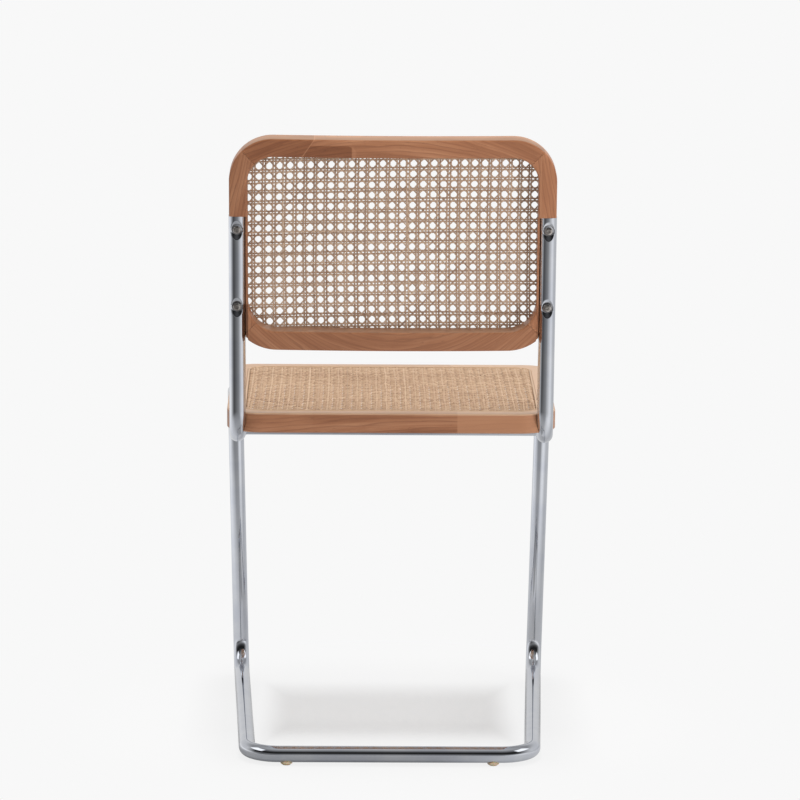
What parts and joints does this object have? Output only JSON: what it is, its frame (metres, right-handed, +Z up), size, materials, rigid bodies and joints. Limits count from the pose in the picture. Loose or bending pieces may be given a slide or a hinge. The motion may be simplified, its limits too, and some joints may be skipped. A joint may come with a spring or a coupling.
{
  "type": "cantilever dining chair",
  "caption": "Cantilever dining chair: one bent chromed steel tube carries a caned seat and a curved caned back in wooden frames, on small glides.",
  "frame": {"origin": "on the floor, under the middle of the chair's bounding box", "axes": "+Z up, +Y towards the rear of the chair, so that a sitter faces -Y, and +X to the right of someone who stands in front and looks along +Y"},
  "size_m": [0.4632, 0.5432, 0.8365],
  "materials": {
    "chrome": "bright chrome plate on bent steel tube",
    "screw_steel": "dulled plated steel",
    "brass": "plain turned, hidden in the wood",
    "beech": "reddish-brown stained beech, satin lacquer",
    "cane": "aged woven rattan cane and reed",
    "nylon": "yellowed translucent nylon"
  },
  "bodies": {
    "root": {"back_bottom_rail": "beech", "back_cane": "cane", "back_insert_left_lower": "brass", "back_insert_left_upper": "brass", "back_insert_right_lower": "brass", "back_insert_right_upper": "brass", "back_left_stile": "beech", "back_right_stile": "beech", "back_screw_left_lower": "screw_steel", "back_screw_left_upper": "screw_steel", "back_screw_right_lower": "screw_steel", "back_screw_right_upper": "screw_steel", "back_spline": "cane", "back_top_rail": "beech", "dowel_back_left": "beech", "dowel_back_right": "beech", "dowel_seat_left": "beech", "dowel_seat_right": "beech", "frame_tube": "chrome", "glide_front_left": "nylon", "glide_front_right": "nylon", "glide_rear_left": "nylon", "glide_rear_right": "nylon", "seat_cane": "cane", "seat_crossbar": "chrome", "seat_front_rail": "beech", "seat_insert_left_front": "brass", "seat_insert_left_rear": "brass", "seat_insert_right_front": "brass", "seat_insert_right_rear": "brass", "seat_left_rail": "beech", "seat_rear_rail": "beech", "seat_right_rail": "beech", "seat_screw_left_front": "screw_steel", "seat_screw_left_rear": "screw_steel", "seat_screw_right_front": "screw_steel", "seat_screw_right_rear": "screw_steel", "seat_spline": "cane"}
  },
  "joints": []
}
